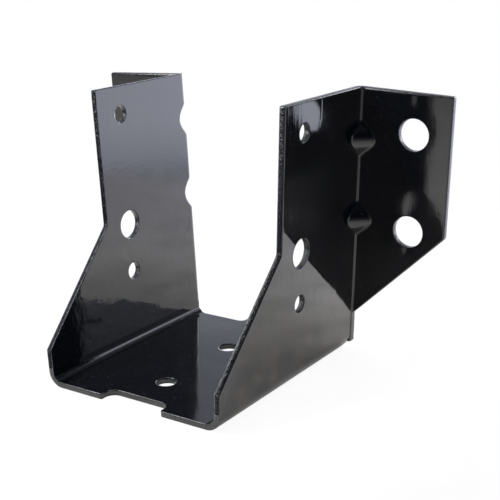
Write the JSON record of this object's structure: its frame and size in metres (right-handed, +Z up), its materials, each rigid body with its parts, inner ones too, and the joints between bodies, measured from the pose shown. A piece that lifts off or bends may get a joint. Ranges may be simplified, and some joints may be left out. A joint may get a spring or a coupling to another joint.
{
  "type": "joist hanger",
  "caption": "Face-mount joist hanger folded from sheet steel: a notched seat, cut-back sides and outward bolt flanges stiffened by pressed corner gussets, coated gloss black.",
  "frame": {"origin": "middle of the bounding box in plan, on the underside of the seat", "axes": "+X across the seat, +Y from the open front to the flanges, +Z up"},
  "size_m": [0.1972, 0.1136, 0.1294],
  "materials": {
    "coat": "gloss black powder coat"
  },
  "bodies": {
    "root": {"hanger": "coat"}
  },
  "joints": []
}
